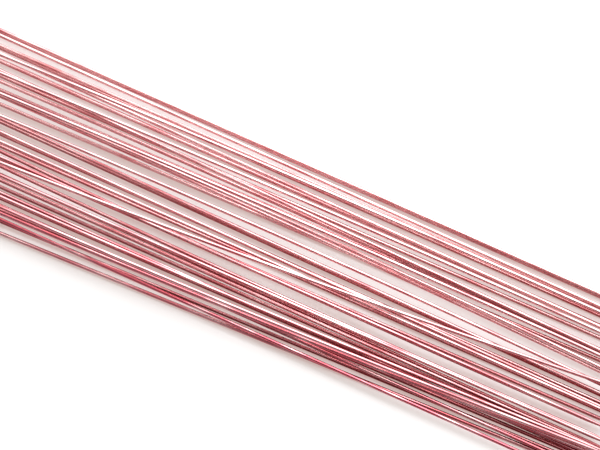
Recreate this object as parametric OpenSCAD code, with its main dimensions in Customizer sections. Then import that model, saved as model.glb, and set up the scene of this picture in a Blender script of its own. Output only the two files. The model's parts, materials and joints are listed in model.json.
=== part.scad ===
// A loose sheaf of straight single-pointed knitting needles lying on a table, all with their caps at
// the same end. Each needle is an anodised aluminium shaft with a tapered point at one end and a
// moulded plastic cap pressed on a turned-down spigot at the other.
//
// Millimetres. +X runs from the caps to the points, +Y is across the sheaf and +Z is up. The origin is
// on the table, in the middle of the sheaf.
//
// The needles lie in four rows, one on another. Caps rest on caps at one end and shafts rest on shafts
// at the other, so the rows spread like a fan from the points to the caps and cross each other freely.

/* [Needle] */
// Diameter of the shaft
shaft_d = 2; // [1.5:0.25:2]
// Overall length, from the back of the cap to the tip of the point
needle_len = 400; // [350:10:400]
// Length of the tapered point
point_len = 14; // [8:1:20]
// Diameter of the rounded tip of the point
tip_d = 0.7; // [0.5:0.1:1]
// Diameter of the spigot that holds the cap
spigot_d = 1.5; // [1:0.1:1.5]
// Length of the spigot
spigot_len = 3.5; // [2.5:0.5:3.5]

/* [Cap] */
// Diameter of the cap
cap_d = 5.2; // [4.8:0.1:5.2]
// Length of the cap
cap_len = 5; // [4.5:0.5:7]
// Radius of the rounded rim at the back of the cap
cap_rim_r = 0.8; // [0.4:0.1:1]
// Diameter of the collar where the shaft enters the cap
cap_collar_d = 3.2; // [3:0.1:3.4]

/* [Sheaf] */
// Gap between one row of needles and the next
row_gap = 0.6; // [0.5:0.1:1]
// How far the needles slip lengthwise out of line with each other, either way
slip = 4; // [0:1:6]
// How far a needle strays from even spacing in its bundle, as a share of that spacing
stray = 0.08; // [0:0.01:0.08]

/* [Hidden] */
$fn = 48;
shaft_r = shaft_d / 2;
cap_r = cap_d / 2;
tip_r = tip_d / 2;
bow_len = needle_len - cap_len - point_len; // the part of the shaft that may be bowed
overlap = 1; // how far the point and the spigot start inside the plain part of the shaft
point_step = 0.02; // the point is ground this much thinner than the shaft where it starts
tip_steps = 6;
lay_seed = 7;

// How the needles lie: bundles of neighbours, row by row from the table up and across each row from -Y
// to +Y. Each bundle is [row, how many needles, y of the first one at the caps, y of the first one at the
// points, spacing at the caps, spacing at the points, sideways bow at the middle].
BUNDLES = [
    [0, 6, -54, -38, 6.6, 3, 0],
    [0, 4, -13, -8, 6.6, 4, 0],
    [0, 4, 16, 22, 8, 6, 0],
    [0, 2, 47, 45, 8, 10, 0],
    [1, 4, -47, -45, 6.6, 6.5, 0],
    [1, 2, -18, -20, 7.5, 7, -2],
    [1, 2, -1, -4, 7.5, 7, 0],
    [1, 2, 17, 14, 9, 10, 2],
    [1, 3, 36, 38, 8.5, 8.5, 0],
    [2, 2, -48, -30, 10, 3, -2],
    [2, 3, -27, -22, 9, 8, 0],
    [2, 2, 4, 7, 9.5, 9, 3],
    [2, 3, 29, 24, 9.5, 12, 0],
    [3, 1, -47, -29, 0, 0, -3],
    [3, 1, -26, 8, 0, 0, -3],
    [3, 3, 12, 20, 11, 12, 2],
];

// Every needle as [y at the caps, y at the points, bow, row, slip]. Needle 1 is the first one.
NEEDLES = [
    for (k = [0:len(BUNDLES) - 1])
        let (b = BUNDLES[k], chance = rands(-1, 1, 3 * b[1], lay_seed + k))
            for (i = [0:b[1] - 1]) [
                b[2] + b[4] * (i + stray * chance[3 * i]),
                b[3] + b[5] * (i + stray * chance[3 * i + 1]),
                b[6], b[0], slip * chance[3 * i + 2],
            ]
];
table_count = len([for (n = NEEDLES) if (n[3] == 0) n]);
near_last = table_count / 2;

// The middle of the sheaf across the table, which becomes y = 0
y_low = min([for (n = NEEDLES) min(n[0] - cap_r, n[1] - tip_r)]);
y_high = max([for (n = NEEDLES) max(n[0] + cap_r, n[1] + tip_r)]);
y_mid = (y_low + y_high) / 2;
// The middle lengthwise, which becomes x = 0
x_mid = (min([for (n = NEEDLES) n[4]]) + max([for (n = NEEDLES) n[4]])) / 2;

function shaft_name(number) = str("needle_", number, "_shaft");
function cap_name(number) = str("needle_", number, "_cap");

// Height of a row's centreline at the caps, and where the points begin to taper
function cap_z(row) = cap_r + row * (cap_d + row_gap);
function point_z(row) = shaft_r + row * (shaft_d + row_gap);

// Radius of a bowed shaft's arc, to the nearest millimetre, and half of the angle that it turns through
function arc_r(bow) = round(bow_len * bow_len / 8 / abs(bow) + abs(bow) / 2);
function half_turn(bow) = bow == 0 ? 0 : asin(bow_len / 2 / arc_r(bow));

// Puts a needle drawn along +X, with the back of its cap at the origin, where it lies in the sheaf
module lay(needle) {
    rise = cap_z(needle[3]) - point_z(needle[3]);
    pitch = asin(rise / (needle_len - point_len));
    yaw = atan((needle[1] - needle[0]) / needle_len);
    translate([needle[4] - x_mid - needle_len / 2, needle[0] - y_mid, cap_z(needle[3])])
        rotate([0, pitch, yaw])
            mirror([0, needle[2] < 0 ? 1 : 0, 0])
                children();
}

// Puts its children, drawn from the origin, at the end of the bowed length that the cap is on (drawn
// along -X) or at the end that the point is on (drawn along +X)
module at_cap_end(bow) {
    translate([cap_len, 0, 0]) rotate([0, 0, half_turn(bow)]) children();
}
module at_point_end(bow) {
    translate([cap_len + bow_len, 0, 0]) rotate([0, 0, -half_turn(bow)]) children();
}

// The long plain part of the shaft: straight, or a true arc made in two halves
module bowed_length(bow) {
    if (bow == 0) {
        translate([cap_len, 0, 0]) rotate([0, 90, 0]) cylinder(r = shaft_r, h = bow_len);
    } else {
        for (half = [0, 1])
            translate([cap_len + bow_len / 2, abs(bow) - arc_r(bow), 0])
                mirror([half, 0, 0])
                    rotate([0, 0, 90])
                        rotate_extrude(angle = half_turn(bow))
                            translate([arc_r(bow), 0]) circle(r = shaft_r);
    }
}

// The tapered point with its rounded tip. It starts inside the end of the plain part.
module point() {
    tip_centre = point_len - tip_r;
    outline = concat(
        [[0, -overlap], [shaft_r - point_step, -overlap], [shaft_r - point_step, 0]],
        [for (i = [0:tip_steps]) let (a = 90 * i / tip_steps) [tip_r * cos(a), tip_centre + tip_r * sin(a)]]
    );
    rotate([0, 90, 0]) rotate_extrude() polygon(outline);
}

// The turned-down end of the shaft that is pressed into the cap. It starts inside the plain part too.
module spigot() {
    translate([overlap, 0, 0]) rotate([0, -90, 0]) cylinder(d = spigot_d, h = spigot_len + overlap);
}

module shaft(needle) {
    color([0.86, 0.45, 0.53]) lay(needle) {
        at_cap_end(needle[2]) spigot();
        bowed_length(needle[2]);
        at_point_end(needle[2]) point();
    }
}

// The cap's outline is drawn from its front, where the shaft enters, to its back
module cap(needle) {
    rim_steps = 5;
    shoulder = cap_len * 0.4;
    outline = concat(
        [
            [spigot_d / 2, 0], [cap_collar_d / 2, 0], [cap_collar_d / 2, cap_len * 0.1],
            [cap_r, shoulder],
        ],
        [
            for (i = [0:rim_steps])
                let (a = 90 * i / rim_steps)
                [cap_r - cap_rim_r * (1 - cos(a)), cap_len - cap_rim_r * (1 - sin(a))]
        ],
        [[0, cap_len], [0, spigot_len], [spigot_d / 2, spigot_len]]
    );
    color([0.72, 0.16, 0.27]) lay(needle) at_cap_end(needle[2])
        rotate([0, -90, 0]) rotate_extrude() polygon(outline);
}

for (i = [0:near_last - 1]) shaft(NEEDLES[i]);  // table_shafts_near
for (i = [near_last:table_count - 1]) shaft(NEEDLES[i]);  // table_shafts_far
for (i = [0:near_last - 1]) cap(NEEDLES[i]);  // table_caps_near
for (i = [near_last:table_count - 1]) cap(NEEDLES[i]);  // table_caps_far
for (number = [table_count + 1:len(NEEDLES)]) {
    shaft(NEEDLES[number - 1]);
    cap(NEEDLES[number - 1]);
}
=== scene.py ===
"""The looks of a loose sheaf of straight knitting needles: rose anodised aluminium shafts with
moulded plastic caps, on a pale table in soft light. Everything is in metres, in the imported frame.
"""
import json
import math
import random

import bmesh
import bpy
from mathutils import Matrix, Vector


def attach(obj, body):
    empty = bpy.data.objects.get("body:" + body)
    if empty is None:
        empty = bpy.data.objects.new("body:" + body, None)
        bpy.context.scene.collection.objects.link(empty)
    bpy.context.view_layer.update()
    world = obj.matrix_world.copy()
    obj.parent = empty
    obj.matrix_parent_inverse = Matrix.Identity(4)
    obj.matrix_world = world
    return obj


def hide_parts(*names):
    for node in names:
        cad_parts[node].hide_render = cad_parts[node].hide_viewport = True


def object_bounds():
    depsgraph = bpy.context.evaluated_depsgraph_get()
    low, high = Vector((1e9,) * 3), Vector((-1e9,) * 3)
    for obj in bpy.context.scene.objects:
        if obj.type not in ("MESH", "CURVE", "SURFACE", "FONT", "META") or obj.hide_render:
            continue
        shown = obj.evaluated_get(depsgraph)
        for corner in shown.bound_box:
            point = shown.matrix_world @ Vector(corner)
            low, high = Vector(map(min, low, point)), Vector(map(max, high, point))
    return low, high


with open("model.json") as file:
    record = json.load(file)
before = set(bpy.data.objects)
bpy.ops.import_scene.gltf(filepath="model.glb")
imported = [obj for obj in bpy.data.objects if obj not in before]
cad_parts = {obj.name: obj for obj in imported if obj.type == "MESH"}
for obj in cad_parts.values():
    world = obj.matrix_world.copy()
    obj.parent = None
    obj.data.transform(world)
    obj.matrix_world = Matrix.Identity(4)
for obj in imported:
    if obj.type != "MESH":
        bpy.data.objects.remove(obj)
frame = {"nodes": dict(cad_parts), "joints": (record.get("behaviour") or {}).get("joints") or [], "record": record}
CAD_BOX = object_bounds()

MM = 0.001
UP = Vector((0, 0, 1))
ALONG = Vector((1, 0, 0))  # roughly where every needle points

# ---------------------------------------------------------------- reading the needles off the frame

WELD = 0.001 * MM  # CAD points nearer to each other than this are one point
RING_GAP = 0.3 * MM  # a needle's rings of points stand further apart than this
FULL_WIDTH = 0.97  # a ring this much of the full radius is on the plain shaft, not on its point
NEAR_HALFWAY = 0.1  # which points tell the bow: this near to halfway, as a share of half the shaft


def islands(obj):
    """The separate solids in a CAD node's mesh, in its order, each as a list of its points."""
    mesh = bmesh.new()
    mesh.from_mesh(obj.data)
    bmesh.ops.remove_doubles(mesh, verts=mesh.verts, dist=WELD)
    seen = set()
    solids = []
    for first in mesh.verts:
        if first in seen:
            continue
        seen.add(first)
        stack = [first]
        points = []
        while stack:
            vert = stack.pop()
            points.append(vert.co.copy())
            for edge in vert.link_edges:
                other = edge.other_vert(vert)
                if other not in seen:
                    seen.add(other)
                    stack.append(other)
        solids.append(points)
    mesh.free()
    return solids


def middle(points):
    return sum(points, Vector()) / len(points)


def rings(points, direction):
    """The points gathered into the rings that stand across a direction, from first to last."""
    ordered = sorted(points, key=direction.dot)
    found = [[ordered[0]]]
    for point in ordered[1:]:
        if direction.dot(point - found[-1][-1]) > RING_GAP:
            found.append([])
        found[-1].append(point)
    return found


class Needle:
    """One needle's centreline and radius, measured on its CAD shaft."""

    def __init__(self, points, direction=None):
        """Its direction is that of its slide, or is measured from end to end if it has none."""
        rough = direction or ALONG
        spigot_end = middle(rings(points, rough)[0])
        tip = max(points, key=rough.dot)
        self.ahead = direction or (tip - spigot_end).normalized()
        self.side = UP.cross(self.ahead).normalized()
        self.up = self.ahead.cross(self.side)
        crossing = rings(points, self.ahead)
        self.radius = max(self.reach(ring) for ring in crossing)
        full = [ring for ring in crossing if self.reach(ring) > FULL_WIDTH * self.radius]
        self.start = self.centre(full[0])
        self.end = self.centre(full[-1])
        self.plain_len = (self.end - self.start).length
        self.point_len = self.ahead.dot(tip - self.end)
        self.bow = self.bow_of(points)

    def reach(self, ring):
        """A ring's radius."""
        return max((point - self.centre(ring)).length for point in ring) if len(ring) > 2 else 0

    def centre(self, ring):
        """The middle of a ring's box, which stays true where its points are unevenly spread."""
        across = [self.side.dot(point) for point in ring]
        heights = [self.up.dot(point) for point in ring]
        along = sum(self.ahead.dot(point) for point in ring) / len(ring)
        return (
            self.ahead * along
            + self.side * (min(across) + max(across)) / 2
            + self.up * (min(heights) + max(heights)) / 2
        )

    def bow_of(self, points):
        """How far the middle of the shaft stands off its chord, sideways."""
        half = self.plain_len / 2
        near = [
            self.side.dot(point - self.start)
            for point in points
            if abs(self.ahead.dot(point - self.start) - half) < NEAR_HALFWAY * half
        ]
        return (min(near) + max(near)) / 2 if near else 0.0

    def at(self, along):
        """The centreline's point and direction, for a distance along from the shaft's shoulder.

        The bow is a parabola, which lies within a micrometre of the CAD's very slight arc.
        """
        t = min(1.0, max(0.0, along / self.plain_len))
        slope = 4 * self.bow * (1 - 2 * t) / self.plain_len
        tangent = (self.ahead + self.side * slope).normalized()
        point = self.start + self.ahead * (t * self.plain_len)
        point += self.side * (4 * self.bow * t * (1 - t))
        return point + tangent * (along - t * self.plain_len), tangent


def needles():
    """Every needle, with its body, its shaft's node and its cap's node."""
    found = []
    slides = {joint["child"]: Vector(joint["axis"]) for joint in frame["joints"]}
    for body, members in frame["record"]["behaviour"]["bodies"].items():
        ahead = -slides[body] if body in slides else None  # a needle is drawn out backwards
        for node in members:
            if "shaft" in node:
                cap_node = node.replace("shaft", "cap")
                for points in islands(frame["nodes"][node]):
                    found.append((Needle(points, ahead), body, node, cap_node))
    return found


# ---------------------------------------------------------------- swept and turned pieces

SIDES = 32
SHARP_ANGLE = math.radians(40)


class Tube:
    """A mesh of rings swept along needles. Each point keeps where it lies on its own needle, and
    the needle's shade, from 0 for the deepest tone to 1 for the palest: partly random tone, and
    partly painted light that makes the far needles paler."""

    def __init__(self, name):
        self.name = name
        self.mesh = bmesh.new()
        self.turned = self.mesh.verts.layers.float_vector.new("turned")
        self.shade = self.mesh.verts.layers.float.new("shade")

    def ring(self, centre, tangent, side, radius, along, shade):
        side = (side - tangent * side.dot(tangent)).normalized()
        up = tangent.cross(side)
        ring = []
        for i in range(SIDES):
            a = 2 * math.pi * i / SIDES
            out = side * math.cos(a) + up * math.sin(a)
            vert = self.mesh.verts.new(centre + out * radius)
            vert[self.turned] = Vector((radius * math.cos(a), radius * math.sin(a), along))
            vert[self.shade] = shade
            ring.append(vert)
        return ring

    def skin(self, sweep):
        """Joins the rings of a sweep, and closes both of its ends."""
        for low, high in zip(sweep, sweep[1:]):
            for i in range(SIDES):
                j = (i + 1) % SIDES
                self.mesh.faces.new((low[i], low[j], high[j], high[i]))
        self.mesh.faces.new(reversed(sweep[0]))
        self.mesh.faces.new(sweep[-1])

    def finish(self, body, node, slot, material):
        data = bpy.data.meshes.new(self.name)
        bmesh.ops.recalc_face_normals(self.mesh, faces=self.mesh.faces)
        self.mesh.to_mesh(data)
        self.mesh.free()
        data.shade_smooth()
        data.set_sharp_from_angle(angle=SHARP_ANGLE)
        data.materials.append(material)
        piece = bpy.data.objects.new(self.name, data)
        bpy.context.scene.collection.objects.link(piece)
        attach(piece, body)
        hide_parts(node)


def arc(centre, radius, first, last, steps):
    """Points on a circle, from one angle to another in degrees."""
    angles = [math.radians(first + (last - first) * i / steps) for i in range(steps + 1)]
    return [(centre[0] + radius * math.cos(a), centre[1] + radius * math.sin(a)) for a in angles]


SHAFT_STEPS = 24
INTO_CAP = 1.0 * MM  # how far the visible shaft starts inside the cap
TAPER_STEPS = 8
TAPER_SWELL = 0.05  # how full the taper is halfway, as a ground point is, as a share of the radius
TIP_R = 0.35 * MM


def shaft_profile(needle):
    """[distance along, radius] down a shaft: the plain part, the taper and the rounded tip."""
    r = needle.radius
    plain = [(needle.plain_len * i / SHAFT_STEPS, r) for i in range(SHAFT_STEPS + 1)]
    taper_len = needle.point_len - TIP_R
    taper = []
    for i in range(1, TAPER_STEPS + 1):
        t = i / TAPER_STEPS
        swell = TAPER_SWELL * r * math.sin(math.pi * t)
        taper.append((needle.plain_len + taper_len * t, r + (TIP_R - r) * t + swell))
    tip = arc((needle.plain_len + taper_len, 0), TIP_R, 75, 3, 6)
    return [(-INTO_CAP, r)] + plain + taper + tip


def add_shaft(tube, needle, shade):
    sweep = []
    for along, radius in shaft_profile(needle):
        centre, tangent = needle.at(along)
        sweep.append(tube.ring(centre, tangent, needle.side, radius, along, shade))
    tube.skin(sweep)


def cap_size(needle, points):
    """A cap's length back from the shaft's shoulder and its radius, measured on its CAD solid."""
    shoulder, tangent = needle.at(0)
    length = 0
    radius = 0
    for point in points:
        back = tangent.dot(shoulder - point)
        length = max(length, back)
        radius = max(radius, (point - shoulder + tangent * back).length)
    return length, radius


MOUTH = 1.02  # the mouth of the cap, as a share of the shaft's radius
COLLAR_R = 1.6 * MM
COLLAR_EDGE_R = 0.15 * MM
COLLAR_SHARE = 0.1  # the collar's share of the cap's length
FLARE_SHARE = 0.3
FLARE_STEPS = 12
FLARE_BULGE = 0.8  # below 1, the flare opens early and is full
SEAM_SHARE = 0.58  # where the two halves of the mould met
SEAM = 0.05 * MM  # depth of the line that they left
# The seam's outline as [distance along, depth], both in seam depths
SEAM_OUTLINE = ((-3, 0), (-1.5, 0), (-0.4, 1), (0.4, 1), (1.5, 0), (3, 0))
RIM_R = 0.8 * MM
GATE_R = 0.5 * MM  # the round mark that the mould's gate left in the back of the cap
GATE_DEPTH = 0.12 * MM
GATE_TAPER = 0.85  # the floor of the mark, as a share of its radius
LAST_RING_R = 0.02 * MM


def cap_profile(shaft_r, length, radius):
    """[distance back from the shaft's shoulder, radius] of a cap, from its collar to its back."""
    collar = arc((COLLAR_EDGE_R, COLLAR_R - COLLAR_EDGE_R), COLLAR_EDGE_R, 180, 90, 3)
    flare_start = COLLAR_SHARE * length
    flare = [(flare_start, COLLAR_R)]
    for i in range(1, FLARE_STEPS + 1):
        t = i / FLARE_STEPS
        swell = (0.5 - 0.5 * math.cos(math.pi * t)) ** FLARE_BULGE
        back = flare_start + FLARE_SHARE * length * t
        flare.append((back, COLLAR_R + (radius - COLLAR_R) * swell))
    seam = [
        (SEAM_SHARE * length + step * SEAM, radius - depth * SEAM)
        for step, depth in SEAM_OUTLINE
    ]
    rim = arc((length - RIM_R, radius - RIM_R), RIM_R, 90, 0, 9)
    gate_floor = length - GATE_DEPTH
    gate = [(length, GATE_R), (gate_floor, GATE_TAPER * GATE_R), (gate_floor, LAST_RING_R)]
    return [(0.0, shaft_r * MOUTH)] + collar + flare + seam + rim + gate


def add_cap(tube, needle, shade, size):
    shoulder, tangent = needle.at(0)
    sweep = []
    for back, radius in cap_profile(needle.radius, *size):
        centre = shoulder - tangent * back
        sweep.append(tube.ring(centre, tangent, needle.side, radius, -back, shade))
    tube.skin(sweep)


# ---------------------------------------------------------------- materials

SPAN = ("From Min", "From Max", "To Min", "To Max")
PATTERN_SHIFT = (0, 0, 3.7)  # how far a shade of 1 moves a needle's pattern along it, in metres

# The shafts' colours. A pair goes from a shade of 0 to 1, the deepest tone to the palest, which makes the far
# needles paler as painted light.
ROSE = ((0.50, 0.08, 0.12), (1.0, 0.75, 0.75))
# Painted shade: the colour the shafts are darkened to where hemmed in, lighter on the far needles
PAINTED_SHADE_ROSE = ((0.13, 0.002, 0.004), (0.44, 0.09, 0.10))
DEEP_CLOUD = (0.50, 0.06, 0.08)
PALE_CLOUD = (0.97, 0.73, 0.73)
BARE_METAL = (0.80, 0.74, 0.72)

# The caps' colours go the same way by shade, so the far caps are painted paler too
CAP_ROSE = ((0.33, 0.016, 0.045), (0.56, 0.075, 0.13))
CAP_MARBLING = (0.60, 0.10, 0.16)

# The table's own glow is painted light, even, with a rosier painted bounce light between shafts
TABLE_GLOW = (1.0, 0.93, 0.83)
TABLE_PAINTED_BOUNCE = (1.0, 0.72, 0.65)

# How open to the sky a place is where the painted crevice light is at its fullest, and where it has faded out
PAINTED_CREVICE_OPENNESS = (0.38, 0.85)


class Nodes:
    """A material's node tree, with short calls to add and join nodes."""

    def __init__(self, name):
        self.material = bpy.data.materials.new(name)
        self.material.use_nodes = True
        self.tree = self.material.node_tree
        self.surface = self.tree.nodes["Principled BSDF"]

    def add(self, kind, **values):
        """Adds a node. Each value goes to the input of that name, or else to the node's setting."""
        node = self.tree.nodes.new(kind)
        for key, value in values.items():
            if key in node.inputs:
                node.inputs[key].default_value = value
            else:
                setattr(node, key, value)
        return node

    def join(self, source, target):
        self.tree.links.new(source, target)

    def attribute(self, name):
        """A value that the mesh carries at each of its points."""
        return self.add("ShaderNodeAttribute", attribute_name=name)

    def stretched(self, source, scale):
        """A needle's own coordinates, scaled so that a pattern runs along the shaft."""
        mapping = self.add("ShaderNodeMapping")
        mapping.inputs["Scale"].default_value = scale
        self.join(source, mapping.inputs["Vector"])
        return mapping.outputs["Vector"]

    def noise(self, vector, scale, detail=3.0):
        node = self.add("ShaderNodeTexNoise", Scale=scale, Detail=detail)
        self.join(vector, node.inputs["Vector"])
        return node.outputs["Fac"]

    def span(self, source, low, high, to_low, to_high):
        """Carries a value from one span to another, held at its ends."""
        node = self.add("ShaderNodeMapRange")
        for key, value in zip(SPAN, (low, high, to_low, to_high)):
            node.inputs[key].default_value = value
        self.join(source, node.inputs["Value"])
        return node.outputs["Result"]

    def mix(self, factor, first, second):
        """A colour between two, each a colour or a socket."""
        node = self.add("ShaderNodeMix", data_type="RGBA")
        self.join(factor, node.inputs["Factor"])
        for socket, value in ((node.inputs[6], first), (node.inputs[7], second)):
            if isinstance(value, tuple):
                socket.default_value = (*value, 1)
            else:
                self.join(value, socket)
        return node.outputs[2]

    def bump(self, height, distance, strength):
        node = self.add("ShaderNodeBump", Distance=distance, Strength=strength)
        self.join(height, node.inputs["Height"])
        self.join(node.outputs["Normal"], self.surface.inputs["Normal"])


def own_coordinates(nodes):
    """Where a point lies on its own needle, moved by the needle's shade so that no two match, and
    that shade."""
    turned = nodes.attribute("turned")
    shade = nodes.attribute("shade")
    shift = nodes.add("ShaderNodeVectorMath", operation="MULTIPLY_ADD")
    nodes.join(shade.outputs["Vector"], shift.inputs[0])
    shift.inputs[1].default_value = PATTERN_SHIFT
    nodes.join(turned.outputs["Vector"], shift.inputs[2])
    return shift.outputs["Vector"], shade.outputs["Fac"]


def painted_crevice_light(nodes, distance, colour, dark):
    """Paints light into a colour: turns it to another wherever the surface is hemmed in, as between two shafts. On
    the shafts it is painted shade, on the table painted bounce light.
    """
    hemmed = nodes.add("ShaderNodeAmbientOcclusion", Distance=distance, samples=8)
    return nodes.mix(nodes.span(hemmed.outputs["AO"], *PAINTED_CREVICE_OPENNESS, 1, 0), colour, dark)


def anodised():
    """Rose anodised aluminium: dyed metal under a clear hard film, with fine drawn lines, and bare
    specks where the film is chipped. It is painted darker between the shafts as painted shade, and
    paler on the far needles as painted light."""
    nodes = Nodes("rose_anodised")
    place, shade = own_coordinates(nodes)
    rose = nodes.mix(shade, *ROSE)
    cloud = nodes.noise(nodes.stretched(place, (1, 1, 0.2)), 160)
    rose = nodes.mix(nodes.span(cloud, 0.50, 0.66, 0, 0.6), rose, DEEP_CLOUD)
    rose = nodes.mix(nodes.span(cloud, 0.48, 0.36, 0, 0.5), rose, PALE_CLOUD)
    # Painted shade: darker crimson between the shafts, in place of their real shadow and reflections
    rose = painted_crevice_light(nodes, 9 * MM, rose, nodes.mix(shade, *PAINTED_SHADE_ROSE))
    lines = nodes.noise(nodes.stretched(place, (1, 1, 0.02)), 4200, 2.0)
    specks = nodes.noise(nodes.stretched(place, (1, 1, 0.45)), 900, 2.0)
    bare = nodes.span(specks, 0.755, 0.775, 0, 0.8)
    nodes.join(nodes.mix(bare, rose, BARE_METAL), nodes.surface.inputs["Base Color"])
    nodes.join(nodes.span(lines, 0.3, 0.7, 0.20, 0.29), nodes.surface.inputs["Roughness"])
    nodes.surface.inputs["Metallic"].default_value = 1.0
    nodes.surface.inputs["Specular Tint"].default_value = (0.90, 0.44, 0.48, 1)
    nodes.surface.inputs["Coat Weight"].default_value = 0.12
    nodes.surface.inputs["Coat Roughness"].default_value = 0.15
    nodes.surface.inputs["Coat IOR"].default_value = 1.6
    nodes.bump(lines, 0.001 * MM, 0.4)
    return nodes.material


def moulded():
    """Glossy moulded plastic with the faint waviness of a moulding."""
    nodes = Nodes("rose_plastic")
    place, shade = own_coordinates(nodes)
    marbling = nodes.span(nodes.noise(place, 420), 0.35, 0.75, 0, 0.3)
    tone = nodes.mix(marbling, nodes.mix(shade, *CAP_ROSE), CAP_MARBLING)
    nodes.join(tone, nodes.surface.inputs["Base Color"])
    gloss = nodes.span(nodes.noise(place, 900), 0.3, 0.7, 0.12, 0.24)
    nodes.join(gloss, nodes.surface.inputs["Roughness"])
    nodes.surface.inputs["Subsurface Weight"].default_value = 0.08
    nodes.surface.inputs["Subsurface Scale"].default_value = 0.8 * MM
    nodes.surface.inputs["Coat Weight"].default_value = 0.6
    nodes.surface.inputs["Coat Roughness"].default_value = 0.06
    nodes.bump(nodes.noise(place, 1500), 0.01 * MM, 0.35)
    return nodes.material


def table_top():
    """A pale, brightly lit top that also glows by itself, as painted light that lightens the shade between the
    shafts, and glows rosier there as painted bounce light from them.
    """
    nodes = Nodes("table_top")
    nodes.surface.inputs["Base Color"].default_value = (0.38, 0.39, 0.43, 1)
    # Painted bounce light: the glow turns rosier where the table is hemmed in by shafts
    glow = painted_crevice_light(nodes, 14 * MM, TABLE_GLOW, TABLE_PAINTED_BOUNCE)
    nodes.join(glow, nodes.surface.inputs["Emission Color"])
    nodes.surface.inputs["Emission Strength"].default_value = 0.47
    nodes.surface.inputs["Roughness"].default_value = 0.6
    return nodes.material


# ---------------------------------------------------------------- the sheaf

SHAFT_LOOK = anodised()
CAP_LOOK = moulded()

# How much of a needle's shade comes from where it lies: the far needles are painted paler, as painted light, and
# the rest is random tone
PAINTED_FAR_PALENESS = 0.75
SHADE_SEED = 5


def build_sheaf():
    """One swept piece for each CAD node, which it replaces. A node can hold several needles."""
    tubes = {}
    solids = {}
    chance = random.Random(SHADE_SEED)
    near_side, far_side = CAD_BOX[0][1], CAD_BOX[1][1]
    for needle, body, shaft_node, cap_node in needles():
        across = (needle.at(needle.plain_len / 2)[0].y - near_side) / (far_side - near_side)
        shade = PAINTED_FAR_PALENESS * across + (1 - PAINTED_FAR_PALENESS) * chance.random()
        if shaft_node not in tubes:
            tubes[shaft_node] = (Tube(shaft_node + "_look"), body, "shaft", SHAFT_LOOK)
            tubes[cap_node] = (Tube(cap_node + "_look"), body, "cap", CAP_LOOK)
            solids[cap_node] = islands(frame["nodes"][cap_node])
        own_cap = min(solids[cap_node], key=lambda points: (middle(points) - needle.start).length)
        add_shaft(tubes[shaft_node][0], needle, shade)
        add_cap(tubes[cap_node][0], needle, shade, cap_size(needle, own_cap))
    for node, (tube, body, slot, material) in tubes.items():
        tube.finish(body, node, slot, material)


build_sheaf()

# ---------------------------------------------------------------- table, light and camera

TABLE_SIZE = 6.0


def build_table():
    data = bpy.data.meshes.new("table")
    half = TABLE_SIZE / 2
    corners = [(-half, -half, 0), (half, -half, 0), (half, half, 0), (-half, half, 0)]
    data.from_pydata(corners, [], [(0, 1, 2, 3)])
    data.materials.append(table_top())
    table = bpy.data.objects.new("table", data)
    bpy.context.scene.collection.objects.link(table)


def area_light(name, place, aim, size, power, colour):
    data = bpy.data.lights.new(name, "AREA")
    data.shape = "RECTANGLE"
    data.size, data.size_y = size
    data.energy = power
    data.color = colour
    light = bpy.data.objects.new(name, data)
    light.location = place
    light.visible_camera = False
    light.rotation_euler = (Vector(aim) - Vector(place)).to_track_quat("-Z", "Y").to_euler()
    bpy.context.scene.collection.objects.link(light)


BRIGHT_SIDE = Vector((0, 0.50, 0.87))
FRONT_LEVEL = 0.10  # the room's brightness away from the bright side
# The room's brightness by how squarely a direction faces the bright side: each step is
# [where it starts, where it is full, how much it adds]
ROOM_STEPS = ((0.15, 0.50, 0.90), (0.75, 0.95, 1.9))


def build_light():
    """A bright room above and behind, brightest in one patch, and dark on the camera's side."""
    world = bpy.data.worlds.new("room")
    bpy.context.scene.world = world
    world.use_nodes = True
    tree = world.node_tree
    background = tree.nodes["Background"]
    background.inputs["Color"].default_value = (1.0, 0.985, 0.96, 1)
    place = tree.nodes.new("ShaderNodeTexCoord")
    toward = tree.nodes.new("ShaderNodeVectorMath")
    toward.operation = "DOT_PRODUCT"
    toward.inputs[1].default_value = BRIGHT_SIDE.normalized()
    tree.links.new(place.outputs["Generated"], toward.inputs[0])
    total = None  # the steps are added up one on another, and the first one on the front level
    for start, full, amount in ROOM_STEPS:
        step = tree.nodes.new("ShaderNodeMapRange")
        step.interpolation_type = "SMOOTHSTEP"
        for key, value in zip(SPAN, (start, full, 0, amount)):
            step.inputs[key].default_value = value
        tree.links.new(toward.outputs["Value"], step.inputs["Value"])
        add = tree.nodes.new("ShaderNodeMath")
        add.inputs[1].default_value = FRONT_LEVEL
        tree.links.new(step.outputs["Result"], add.inputs[0])
        if total:
            tree.links.new(total, add.inputs[1])
        total = add.outputs["Value"]
    tree.links.new(total, background.inputs["Strength"])
    area_light("window", (0.1, 1.0, 2.0), (0, 0, 0), (2.2, 0.9), 5, (1.0, 0.98, 0.95))
    area_light("lamp", (-0.08, 0.24, 0.44), (0, 0, 0), (0.20, 0.80), 1.5, (1.0, 0.98, 0.96))


CAMERA_AZIMUTH = math.radians(27)
CAMERA_ELEVATION = math.radians(60)
CAMERA_DISTANCE = 2.4
PICTURE_WIDTH = 0.309  # what the frame takes in at the table, across
PICTURE_CENTRE = Vector((0.0018, 0.0232, 0))


def build_camera():
    data = bpy.data.cameras.new("camera")
    data.sensor_width = 36
    data.lens = data.sensor_width * CAMERA_DISTANCE / PICTURE_WIDTH
    camera = bpy.data.objects.new("camera", data)
    flat = math.cos(CAMERA_ELEVATION)
    away = Vector((
        math.sin(CAMERA_AZIMUTH) * flat,
        -math.cos(CAMERA_AZIMUTH) * flat,
        math.sin(CAMERA_ELEVATION),
    ))
    camera.location = PICTURE_CENTRE + away * CAMERA_DISTANCE
    camera.rotation_euler = (-away).to_track_quat("-Z", "Y").to_euler()
    bpy.context.scene.collection.objects.link(camera)
    bpy.context.scene.camera = camera


build_table()
build_light()
build_camera()
bpy.context.scene.view_settings.view_transform = "Standard"
